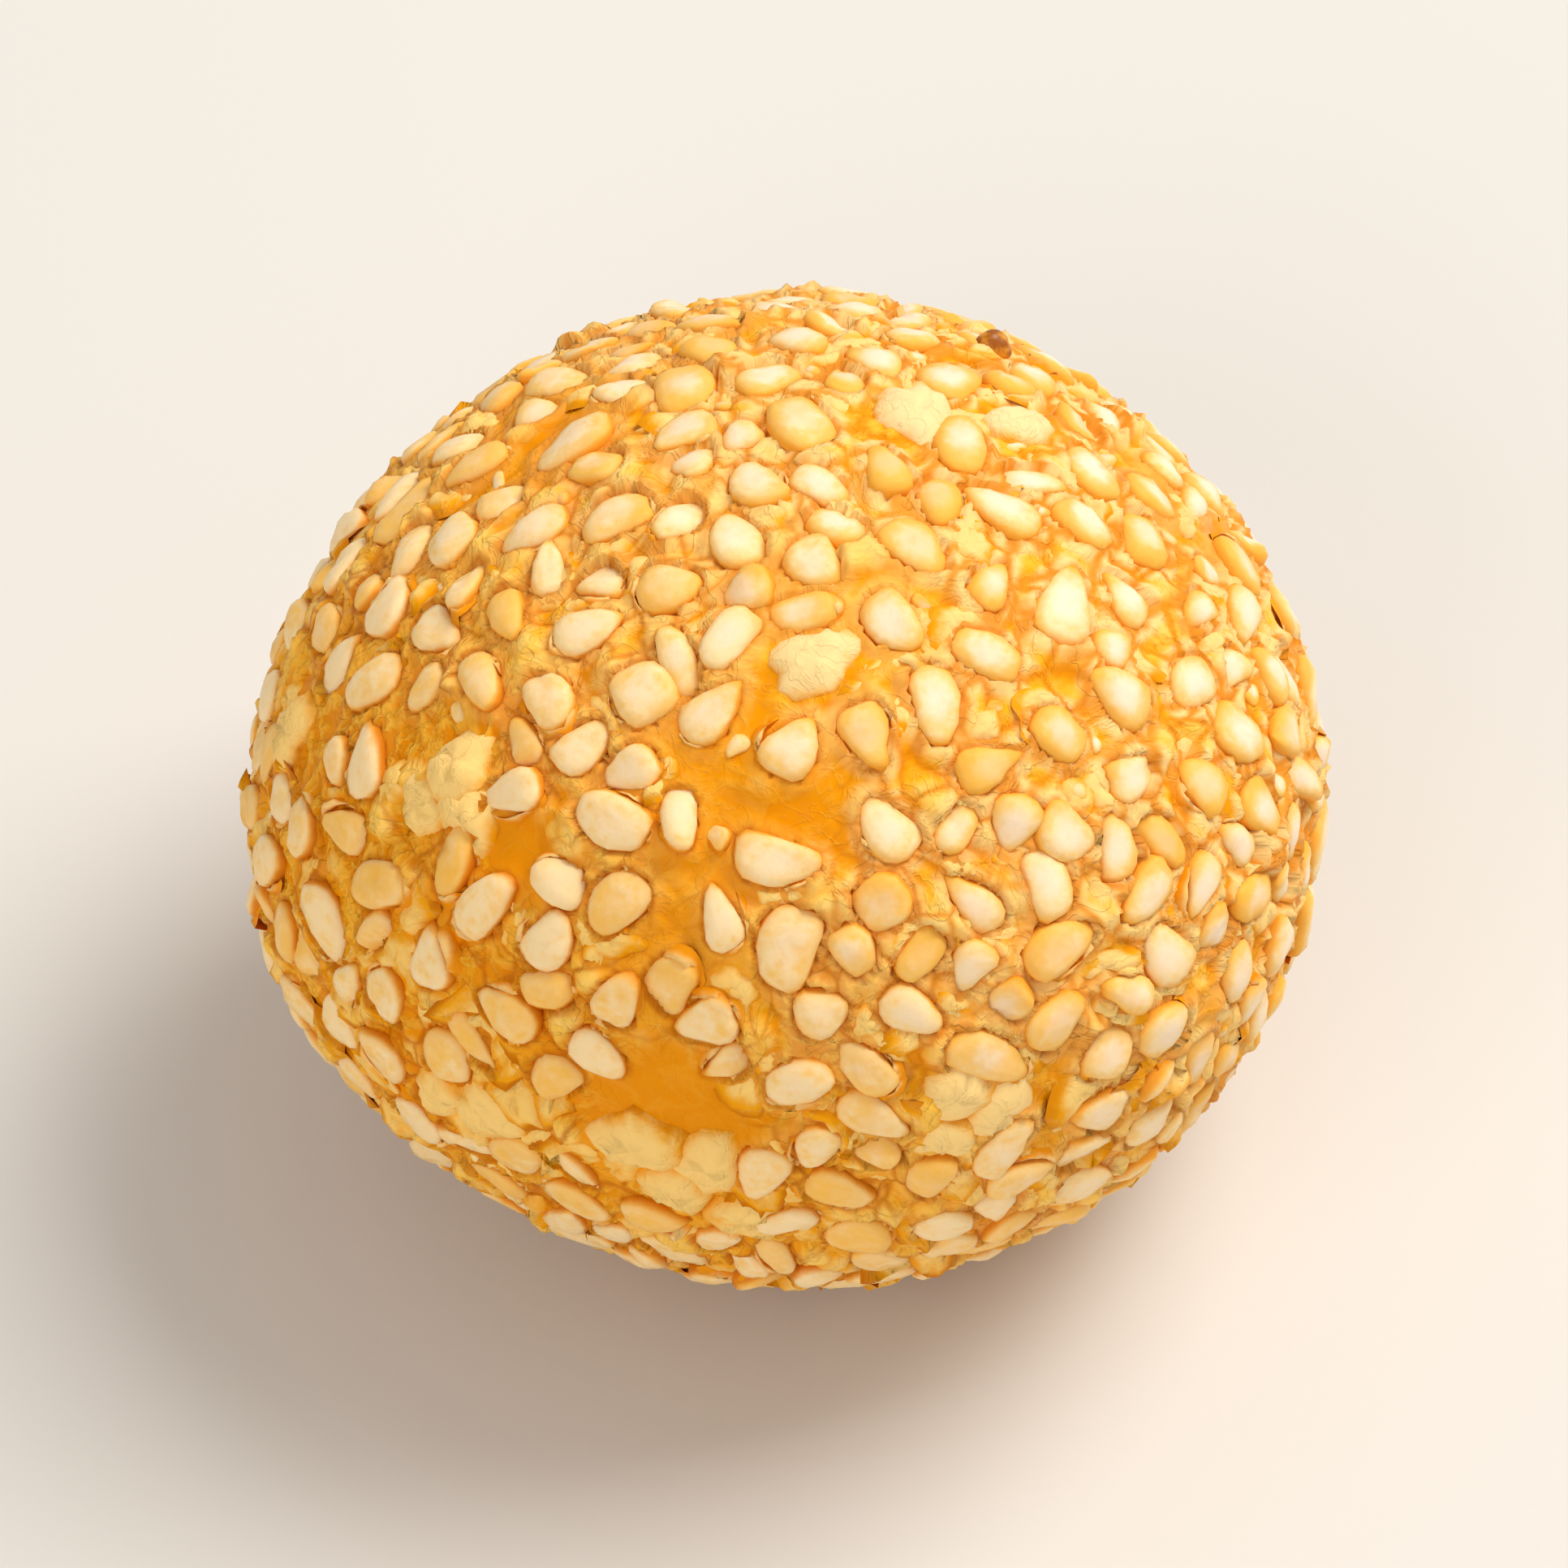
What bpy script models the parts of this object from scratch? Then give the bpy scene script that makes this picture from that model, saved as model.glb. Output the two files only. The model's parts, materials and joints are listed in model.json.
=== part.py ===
"""A sesame ball: a ball of glutinous rice dough, rolled in sesame seeds and deep-fried.

It stands on the flat spot that it got as it cooled. The origin is the middle of that spot,
+Z is up, +X is the fuller end, and -Y is the side that faces whoever looks at it.
"""

import math

import bmesh
import bpy
import numpy as np
from mathutils import Matrix, Vector

# The dough, in metres, without its seeds. DOUGH_SINK is what the flat spot takes off the bottom,
# and EGG is how much fuller the +X end is.
DOUGH_WIDTH = 0.0430
DOUGH_DEPTH = 0.0416
DOUGH_HEIGHT = 0.0372
DOUGH_SINK = 0.0009
EGG = 0.05

# The ball was rolled by hand, so low swells run across it: (direction, waves, phase, height).
SWELLS = (
    ((0.8, 0.5, 0.3), 3.1, 0.4, 0.010),
    ((-0.3, 0.9, 0.4), 4.3, 1.9, 0.008),
    ((0.2, -0.5, 0.8), 5.2, 3.6, 0.007),
    ((-0.7, 0.2, 0.7), 6.7, 5.0, 0.005),
)

# The dough's facets, grown a little so that they lie as much outside the true skin as inside it.
DOUGH_SUBDIVISIONS = 3
DOUGH_GROWTH = 1.006

# The largest seeds, in metres, laid well apart. The finer ones between them aren't in the solid.
SEED_COUNT = 360
SEED_TRIES = 40000
SEED_LENGTH = 0.0033
SEED_WIDTH = 0.0021
SEED_RISE = 0.0007
SEED_VARIATION = 0.10
SEED_SPACING = 0.0029
SEED_CLEARANCE = 0.00008
SEED_LEAN = math.radians(5)
RANDOM_SEED = 7

# Patches where the dough shows bare: (turn from +X, rise above the middle, radius, seeds kept).
# The angles are in degrees, the radius is in metres, and the last is a share.
BARE_PATCHES = (
    (257.0, 7.0, 0.0036, 0.0),
    (262.0, 47.0, 0.0044, 0.12),
    (232.0, 33.0, 0.0019, 0.0),
    (285.0, 68.0, 0.0042, 0.35),
    (258.0, 27.0, 0.0032, 0.35),
    (70.0, 20.0, 0.0050, 0.25),
    (150.0, 55.0, 0.0038, 0.3),
    (15.0, 35.0, 0.0034, 0.3),
)

# While the seeds are laid, each is three beads in a row, as shares of its length and its width.
BEAD_PLACES = np.array([-0.25, 0.0, 0.25])
BEAD_SIZES = np.array([0.42, 0.5, 0.42])
SIDE_GUIDE = (0.31, 0.17, 0.94)
SKIN_STEP = 1e-3

# A seed's facets: its rings from the root up, as (share of its size, height over its rise), and
# its top. It is widest towards its blunt end.
SEED_SIDES = 6
SEED_RINGS = ((1.22, -0.75), (0.74, 0.66))
SEED_TOP = (-0.04, 1.0)
SEED_FULLNESS = 1.08
SEED_TAPER = 0.30

FLOOR_CUTTER_SIZE = 0.1
SMOOTH_ANGLE = math.radians(35)
CRUST_COLOUR = (0.86, 0.50, 0.13, 1.0)
CRUST_ROUGHNESS = 0.45


def unit(vectors):
    """The vectors at length one."""
    vectors = np.asarray(vectors, float)
    return vectors / np.linalg.norm(vectors, axis=-1, keepdims=True)


def dough_middle():
    """The point inside the dough that its skin is measured from."""
    return np.array([0.0, 0.0, DOUGH_HEIGHT / 2 - DOUGH_SINK])


def skin(directions):
    """Points of the dough's skin, seen from its middle in these directions."""
    directions = unit(directions)
    half_sizes = np.array([DOUGH_WIDTH, DOUGH_DEPTH, DOUGH_HEIGHT]) / 2
    radius = 1 / np.linalg.norm(directions / half_sizes, axis=-1)
    swell = np.zeros(radius.shape)
    for axis, waves, phase, height in SWELLS:
        swell += height * np.sin(waves * (directions @ unit(axis)) + phase)
    points = directions * (radius * (1 + swell))[..., None]
    girth = 1 + EGG * points[..., :1] / half_sizes[0]
    points = points * np.concatenate([np.ones(girth.shape), girth, girth], axis=-1)
    return points + dough_middle()


def skin_axes(directions, turns):
    """Points of the skin, its outward normals, and the tangents that lie at these turns."""
    sides = unit(np.cross(directions, SIDE_GUIDE))
    others = np.cross(directions, sides)
    points = skin(directions)
    down_side = skin(directions + SKIN_STEP * sides) - points
    down_other = skin(directions + SKIN_STEP * others) - points
    normals = unit(np.cross(down_side, down_other))
    along = np.cos(turns)[:, None] * sides + np.sin(turns)[:, None] * others
    along -= (along * normals).sum(-1, keepdims=True) * normals
    return points, normals, unit(along)


def cover(points):
    """The share of seeds that stick at these points of the skin."""
    share = np.ones(len(points))
    for turn, rise, radius, kept in BARE_PATCHES:
        turn = math.radians(turn)
        rise = math.radians(rise)
        out = math.cos(rise)
        middle = skin(np.array([out * math.cos(turn), out * math.sin(turn), math.sin(rise)]))
        bare = np.linalg.norm(points - middle, axis=-1) < radius
        share[bare] = np.minimum(share[bare], kept)
    return share


def lay_seeds():
    """The seeds' places, each (point, up, along, length, width, rise).

    They come one by one at random places, and one stays where it clears all those before it."""
    rng = np.random.default_rng(RANDOM_SEED)
    directions = unit(rng.normal(size=(SEED_TRIES, 3)))
    points, normals, along = skin_axes(directions, rng.uniform(0, math.tau, SEED_TRIES))
    sizes = 1 + SEED_VARIATION * rng.uniform(-1, 1, (SEED_TRIES, 3))
    lengths, widths, rises = (sizes * (SEED_LENGTH, SEED_WIDTH, SEED_RISE)).T
    leans = rng.normal(size=(SEED_TRIES, 2)) * SEED_LEAN
    sticks = rng.random(SEED_TRIES) < cover(points)
    beads = points[:, None] + lengths[:, None, None] * BEAD_PLACES[:, None] * along[:, None]
    reaches = widths[:, None] * BEAD_SIZES

    laid = []
    for one in np.flatnonzero(sticks):
        if len(laid) == SEED_COUNT:
            break
        distances = np.linalg.norm(points[laid] - points[one], axis=-1)
        if (distances < SEED_SPACING).any():
            continue
        near = np.array(laid, int)[distances < 2 * SEED_LENGTH]
        gaps = np.linalg.norm(beads[near][:, :, None] - beads[one], axis=-1)
        gaps -= reaches[near][:, :, None] + reaches[one]
        if (gaps < SEED_CLEARANCE).any():
            continue
        laid.append(one)

    across = np.cross(normals, along)
    up = unit(normals + leans[:, :1] * along + leans[:, 1:] * across)
    along = unit(along - (along * up).sum(-1, keepdims=True) * up)
    return [(points[one], up[one], along[one], lengths[one], widths[one], rises[one]) for one in laid]


def seed_mesh():
    """One seed of length, width and rise one: a low dome, blunt at one end, narrower at the other.

    Its height is measured from the dough's skin, and its root reaches down into the dough."""
    mesh = bpy.data.meshes.new("seed")
    bm = bmesh.new()
    rings = []
    for size, height in SEED_RINGS:
        ring = []
        for step in range(SEED_SIDES):
            angle = math.tau * step / SEED_SIDES
            x = math.cos(angle) / 2
            y = math.sin(angle) / 2 * (SEED_FULLNESS - SEED_TAPER * math.cos(angle))
            ring.append(bm.verts.new((x * size, y * size, height)))
        rings.append(ring)
    root, crown = rings
    top = bm.verts.new((SEED_TOP[0], 0, SEED_TOP[1]))
    bm.faces.new(reversed(root))
    for step in range(SEED_SIDES):
        after = (step + 1) % SEED_SIDES
        bm.faces.new((root[step], root[after], crown[after], crown[step]))
        bm.faces.new((crown[step], crown[after], top))
    bm.to_mesh(mesh)
    bm.free()
    return mesh


def add_seeds(collection):
    """One object for each seed, set in the dough and linked to the collection."""
    shape = seed_mesh()
    for number, (point, up, along, length, width, rise) in enumerate(lay_seeds()):
        columns = np.stack([along * length, np.cross(up, along) * width, up * rise], axis=-1)
        place = Matrix(columns.tolist()).to_4x4()
        place.translation = Vector(point.tolist())
        mesh = shape.copy()
        mesh.transform(place)
        collection.objects.link(bpy.data.objects.new(f"seed_{number}", mesh))


def add_dough():
    """The ball of dough under the seeds."""
    mesh = bpy.data.meshes.new("sesame_ball")
    middle = dough_middle()
    bm = bmesh.new()
    bmesh.ops.create_icosphere(bm, subdivisions=DOUGH_SUBDIVISIONS, radius=1)
    for vert in bm.verts:
        point = middle + (skin(np.array(vert.co)) - middle) * DOUGH_GROWTH
        vert.co = point.tolist()
    bm.to_mesh(mesh)
    bm.free()
    ball = bpy.data.objects.new("sesame_ball", mesh)
    bpy.context.scene.collection.objects.link(ball)
    return ball


def apply_modifiers(obj):
    """Keeps the object's evaluated mesh as its own, and drops its modifiers."""
    graph = bpy.context.evaluated_depsgraph_get()
    made = bpy.data.meshes.new_from_object(obj.evaluated_get(graph))
    obj.modifiers.clear()
    obj.data = made


def fuse_seeds(ball, collection):
    """Joins every seed of the collection to the ball, then removes their objects."""
    union = ball.modifiers.new("seeds", "BOOLEAN")
    union.operation = "UNION"
    union.operand_type = "COLLECTION"
    union.collection = collection
    union.solver = "EXACT"
    apply_modifiers(ball)
    for obj in list(collection.objects):
        bpy.data.objects.remove(obj)
    bpy.data.collections.remove(collection)


def cut_flat_spot(ball):
    """Takes off what lies below the surface that the ball stands on."""
    mesh = bpy.data.meshes.new("floor_cutter")
    bm = bmesh.new()
    bmesh.ops.create_cube(bm, size=FLOOR_CUTTER_SIZE)
    bmesh.ops.translate(bm, verts=bm.verts[:], vec=(0, 0, -FLOOR_CUTTER_SIZE / 2))
    bm.to_mesh(mesh)
    bm.free()
    cutter = bpy.data.objects.new("floor_cutter", mesh)
    bpy.context.scene.collection.objects.link(cutter)
    cut = ball.modifiers.new("flat_spot", "BOOLEAN")
    cut.operation = "DIFFERENCE"
    cut.object = cutter
    cut.solver = "EXACT"
    apply_modifiers(ball)
    bpy.data.objects.remove(cutter)


def centre_on_origin(ball):
    """Puts the middle of the ball's box on the Z axis."""
    points = np.array([vert.co for vert in ball.data.vertices])
    middle = (points.min(0) + points.max(0)) / 2
    ball.data.transform(Matrix.Translation((-middle[0], -middle[1], 0)))


def crust_material():
    """Golden fried crust, thick with pale seeds."""
    material = bpy.data.materials.new("sesame_crust")
    material.use_nodes = True
    shader = material.node_tree.nodes["Principled BSDF"]
    shader.inputs["Base Color"].default_value = CRUST_COLOUR
    shader.inputs["Roughness"].default_value = CRUST_ROUGHNESS
    shader.inputs["Metallic"].default_value = 0.0
    return material


def main():
    for obj in list(bpy.data.objects):
        bpy.data.objects.remove(obj)
    collection = bpy.data.collections.new("seeds")
    bpy.context.scene.collection.children.link(collection)
    ball = add_dough()
    add_seeds(collection)
    fuse_seeds(ball, collection)
    cut_flat_spot(ball)
    centre_on_origin(ball)
    ball.data.materials.clear()
    ball.data.materials.append(crust_material())
    ball.data.shade_smooth()
    ball.data.set_sharp_from_angle(angle=SMOOTH_ANGLE)


main()
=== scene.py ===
import json
import math

import bmesh
import bpy
import numpy as np
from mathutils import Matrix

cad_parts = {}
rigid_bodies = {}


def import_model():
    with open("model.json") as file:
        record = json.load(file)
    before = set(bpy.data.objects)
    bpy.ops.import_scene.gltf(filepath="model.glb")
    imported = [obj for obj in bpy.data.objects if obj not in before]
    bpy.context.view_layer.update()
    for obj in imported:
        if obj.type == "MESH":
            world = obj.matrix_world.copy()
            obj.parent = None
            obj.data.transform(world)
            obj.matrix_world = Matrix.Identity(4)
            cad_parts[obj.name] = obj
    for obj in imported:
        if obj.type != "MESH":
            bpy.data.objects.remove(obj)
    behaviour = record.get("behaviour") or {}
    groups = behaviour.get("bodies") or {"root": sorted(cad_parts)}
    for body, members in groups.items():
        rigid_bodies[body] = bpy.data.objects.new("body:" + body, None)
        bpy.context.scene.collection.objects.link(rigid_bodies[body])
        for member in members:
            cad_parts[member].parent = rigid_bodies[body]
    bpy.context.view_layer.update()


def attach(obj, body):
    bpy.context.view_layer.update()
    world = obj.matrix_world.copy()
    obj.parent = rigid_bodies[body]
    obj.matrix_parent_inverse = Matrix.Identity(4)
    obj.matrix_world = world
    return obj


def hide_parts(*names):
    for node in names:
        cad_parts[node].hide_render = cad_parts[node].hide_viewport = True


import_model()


# The ball of dough: glutinous rice dough, rolled by hand into a ball a little wider than it is tall
# and fuller at +X. These are the sizes that it is rolled to, in metres, and the skin that follows
# from them, which the seeds are pressed into and the crust grows on.
DOUGH_WIDTH = 0.0430
DOUGH_DEPTH = 0.0416
DOUGH_HEIGHT = 0.0372
DOUGH_SINK = 0.0009
EGG = 0.05
SWELLS = (
    ((0.8, 0.5, 0.3), 3.1, 0.4, 0.010),
    ((-0.3, 0.9, 0.4), 4.3, 1.9, 0.008),
    ((0.2, -0.5, 0.8), 5.2, 3.6, 0.007),
    ((-0.7, 0.2, 0.7), 6.7, 5.0, 0.005),
)
SIDE_GUIDE = (0.31, 0.17, 0.94)
SKIN_STEP = 1e-3


def unit(vectors):
    """The vectors at length one."""
    vectors = np.asarray(vectors, float)
    return vectors / np.linalg.norm(vectors, axis=-1, keepdims=True)


def skin(directions):
    """Points of the dough's skin, seen from its middle in these directions."""
    directions = unit(directions)
    half_sizes = np.array([DOUGH_WIDTH, DOUGH_DEPTH, DOUGH_HEIGHT]) / 2
    radius = 1 / np.linalg.norm(directions / half_sizes, axis=-1)
    swell = np.zeros(radius.shape)
    for axis, waves, phase, height in SWELLS:
        swell += height * np.sin(waves * (directions @ unit(axis)) + phase)
    points = directions * (radius * (1 + swell))[..., None]
    girth = 1 + EGG * points[..., :1] / half_sizes[0]
    points = points * np.concatenate([np.ones(girth.shape), girth, girth], axis=-1)
    return points + np.array([0.0, 0.0, DOUGH_HEIGHT / 2 - DOUGH_SINK])


def skin_axes(directions, turns):
    """Points of the skin, its outward normals, and the tangents that lie at these turns."""
    sides = unit(np.cross(directions, SIDE_GUIDE))
    others = np.cross(directions, sides)
    points = skin(directions)
    down_side = skin(directions + SKIN_STEP * sides) - points
    down_other = skin(directions + SKIN_STEP * others) - points
    normals = unit(np.cross(down_side, down_other))
    along = np.cos(turns)[:, None] * sides + np.sin(turns)[:, None] * others
    along -= (along * normals).sum(-1, keepdims=True) * normals
    return points, normals, unit(along)


def toward(turn, rise):
    """The direction at a turn from +X and a rise above the level of the middle, in degrees."""
    turn = math.radians(turn)
    rise = math.radians(rise)
    return np.array([math.cos(rise) * math.cos(turn), math.cos(rise) * math.sin(turn), math.sin(rise)])


# Where the seeds lie. The ball is rolled in them wet: plump ones stick first, finer ones in the
# gaps. Dough that puffs up shakes them off: (turn, rise, length, width, height, turn of its length),
# several to a pale patch. A few patches stay bare: (turn, rise, radius, share kept).
PUFFED_PATCHES = (
    (33.8, 70.5, 0.0040, 0.0034, 0.00085, 20.0),
    (24.0, 57.5, 0.0036, 0.0028, 0.00080, 100.0),
    (217.5, 37.5, 0.0038, 0.0032, 0.00085, 60.0),
    (223.5, 33.0, 0.0040, 0.0030, 0.00075, 120.0),
    (216.0, 31.0, 0.0030, 0.0026, 0.00070, 10.0),
    (253.5, 2.0, 0.0042, 0.0034, 0.00095, 20.0),
    (262.0, 1.0, 0.0040, 0.0032, 0.00085, 120.0),
    (258.0, -4.5, 0.0036, 0.0032, 0.00090, 70.0),
    (266.0, -8.5, 0.0038, 0.0034, 0.00085, 80.0),
    (278.3, 63.2, 0.0040, 0.0030, 0.00060, 30.0),
    (289.5, 10.5, 0.0040, 0.0032, 0.00060, 40.0),
    (295.0, 7.0, 0.0042, 0.0032, 0.00055, 110.0),
    (288.0, 3.5, 0.0034, 0.0028, 0.00060, 0.0),
    (235.6, -1.5, 0.0044, 0.0034, 0.00070, 0.0),
    (229.0, -3.0, 0.0030, 0.0028, 0.00060, 60.0),
    (186.7, 17.6, 0.0040, 0.0032, 0.00065, 90.0),
)
BARE_PATCHES = (
    (257.0, 7.0, 0.0036, 0.0),
    (262.0, 47.0, 0.0044, 0.12),
    (232.0, 33.0, 0.0019, 0.0),
    (285.0, 68.0, 0.0042, 0.35),
    (258.0, 27.0, 0.0032, 0.35),
    (70.0, 20.0, 0.0050, 0.25),
    (150.0, 55.0, 0.0038, 0.3),
    (15.0, 35.0, 0.0034, 0.3),
)
BEAD_PLACES = np.array([-0.25, 0.0, 0.25])
BEAD_SIZES = np.array([0.42, 0.5, 0.42])
LOWEST_SEED = -0.0002
PUFFED_REACH = 0.22
FARTHEST_NEIGHBOUR = 0.0066


def cover(points):
    """The share of seeds that stick at these points of the skin."""
    share = np.ones(len(points))
    for turn, rise, radius, kept in BARE_PATCHES:
        bare = np.linalg.norm(points - skin(toward(turn, rise)), axis=-1) < radius
        share[bare] = np.minimum(share[bare], kept)
    return share


def stuck(points):
    """Whether seeds stay at these points: not under the ball, nor where the dough has puffed up."""
    kept = points[:, 2] > LOWEST_SEED
    for turn, rise, length, width, _, _ in PUFFED_PATCHES:
        away = np.linalg.norm(points - skin(toward(turn, rise)), axis=-1)
        kept &= away > PUFFED_REACH * (length + width)
    return kept


def lay_seeds(before, count, tries, size, variation, spacing, clearance, lean, random_seed):
    """Lays seeds of about this size (length, width, rise) one by one, clear of each other and of
    those laid before by the clearance, and returns all of them as a dictionary of arrays. Three
    beads along a seed stand for the room that it takes."""
    rng = np.random.default_rng(random_seed)
    directions = unit(rng.normal(size=(tries, 3)))
    points, normals, along = skin_axes(directions, rng.uniform(0, math.tau, tries))
    sizes = (1 + variation * rng.uniform(-1, 1, (tries, 3))) * size
    leans = rng.normal(size=(tries, 2)) * lean
    sticks = rng.random(tries) < cover(points)
    across = np.cross(normals, along)
    up = unit(normals + leans[:, :1] * along + leans[:, 1:] * across)
    tilted = unit(along - (along * up).sum(-1, keepdims=True) * up)
    beads = points[:, None] + sizes[:, :1, None] * BEAD_PLACES[:, None] * along[:, None]
    fresh = {
        "point": points,
        "up": up,
        "along": tilted,
        "size": sizes,
        "beads": beads,
        "reach": sizes[:, 1:2] * BEAD_SIZES,
    }
    start = len(before["point"]) if before else 0
    laid = {name: np.zeros((start + count,) + values.shape[1:]) for name, values in fresh.items()}
    for name in before:
        laid[name][:start] = before[name]
    total = start
    for one in np.flatnonzero(sticks):
        if total == start + count:
            break
        distances = np.linalg.norm(laid["point"][:total] - points[one], axis=-1)
        if (distances < spacing).any():
            continue
        near = np.flatnonzero(distances < FARTHEST_NEIGHBOUR)
        gaps = np.linalg.norm(laid["beads"][near][:, :, None] - beads[one], axis=-1)
        gaps -= laid["reach"][near][:, :, None] + fresh["reach"][one]
        if (gaps < clearance).any():
            continue
        for name in fresh:
            laid[name][total] = fresh[name][one]
        total += 1
    return {name: values[:total] for name, values in laid.items()}


plump = lay_seeds({}, count=360, tries=40000, size=(0.0033, 0.0021, 0.0007), variation=0.10,
                  spacing=0.0029, clearance=0.00008, lean=math.radians(5), random_seed=7)
fine = lay_seeds(plump, count=260, tries=30000, size=(0.0028, 0.0018, 0.00058), variation=0.18,
                 spacing=0.0018, clearance=-0.00022, lean=math.radians(13), random_seed=11)
bits = lay_seeds(fine, count=140, tries=9000, size=(0.0013, 0.0009, 0.00024), variation=0.4,
                 spacing=0.0009, clearance=-0.00005, lean=math.radians(16), random_seed=17)
every = lay_seeds(fine, count=230, tries=30000, size=(0.0029, 0.0020, 0.00040), variation=0.2,
                  spacing=0.0012, clearance=-0.00075, lean=math.radians(6), random_seed=13)


# A seed: a flat drop, blunt at one end and pointed at the other, hulled and toasted pale. Frying
# puffs, dents and creases each one differently:
# (taper, roundness of the ends, bend, crease depth, crease turn, plumpness).
SEED_FORMS = (
    (0.28, 0.92, 0.00, 0.00, 0.0, 0.96),
    (0.42, 0.98, 0.04, 0.06, 0.0, 0.90),
    (0.08, 0.68, -0.04, 0.16, 0.3, 1.02),
    (0.24, 0.76, 0.10, 0.24, -0.4, 0.92),
    (0.16, 0.84, -0.07, 0.00, 0.0, 1.04),
    (0.46, 0.92, 0.02, 0.18, 0.1, 0.88),
    (0.00, 0.60, 0.07, 0.34, 1.2, 1.00),
    (0.22, 0.74, -0.12, 0.14, -1.0, 0.94),
    (0.36, 0.90, 0.00, 0.40, 0.0, 0.96),
    (0.10, 0.66, 0.08, 0.08, 0.8, 1.04),
    (0.20, 0.80, -0.06, 0.30, 0.6, 0.90),
    (0.34, 0.96, 0.06, 0.00, 0.0, 1.00),
)
SEED_SIDES = 14
SEED_RINGS = 9
SEED_FLATNESS = 0.60
SEED_THICKNESS = 0.00118
BIT_THICKNESS = 0.0005
SEED_MOODS = np.array([[0.10], [0.09], [0.12]])
SEED_PROPORTIONS = np.array([[0.90], [1.05], [1.0]])


def form_object(name, bm):
    """The shape that was built, as an object of this name."""
    mesh = bpy.data.meshes.new(name)
    bm.to_mesh(mesh)
    bm.free()
    return bpy.data.objects.new(name, mesh)


def form_collection(name, forms):
    """A collection of these forms, for a tree to pick from."""
    collection = bpy.data.collections.new(name)
    bpy.context.scene.collection.children.link(collection)
    for form in forms:
        collection.objects.link(form)
    return collection


def seed_form(name, taper, roundness, bend, crease, crease_turn, plumpness):
    """One seed of length, width and thickness one, its tip at +X. height is 0 below and 1 on top,
    and rim is 0 in its middle and 1 at its edge."""
    bm = bmesh.new()
    height = bm.verts.layers.float.new("height")
    rim = bm.verts.layers.float.new("rim")

    def place(x, y, z):
        valley = math.exp(-((y * math.cos(crease_turn) - x * math.sin(crease_turn)) / 0.09) ** 2)
        lifted = z * (1 - crease * valley) if z > 0 else z
        vert = bm.verts.new((x, y + bend * (4 * x * x - 0.5), lifted))
        vert[height] = z + 0.5
        vert[rim] = 2 * math.hypot(x, y)
        return vert

    rings = []
    for ring in range(1, SEED_RINGS):
        turn = math.pi * ring / SEED_RINGS
        x = -0.5 * math.cos(turn)
        tapered = 1 + taper * math.cos(turn) - 0.35 * taper * math.sin(turn)
        girth = 0.5 * math.sin(turn) ** roundness * tapered
        flat = 0.5 * math.sin(turn) ** 0.62 * (1 + 0.5 * taper * math.cos(turn)) * plumpness
        verts = []
        for side in range(SEED_SIDES):
            angle = math.tau * side / SEED_SIDES
            level = math.copysign(abs(math.sin(angle)) ** SEED_FLATNESS, math.sin(angle))
            verts.append(place(x, girth * math.cos(angle), flat * level))
        rings.append(verts)
    blunt = place(-0.5, 0, 0)
    tip = place(0.5 + 0.1 * taper, 0, 0)
    for side in range(SEED_SIDES):
        after = (side + 1) % SEED_SIDES
        bm.faces.new((blunt, rings[0][after], rings[0][side]))
        bm.faces.new((tip, rings[-1][side], rings[-1][after]))
        for first, second in zip(rings, rings[1:]):
            bm.faces.new((first[side], first[after], second[after], second[side]))
    bmesh.ops.recalc_face_normals(bm, faces=bm.faces)
    return form_object(name, bm)


seed_forms = form_collection("seed forms", [
    seed_form(f"seed_form_{number:02d}", *row) for number, row in enumerate(SEED_FORMS)])


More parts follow.
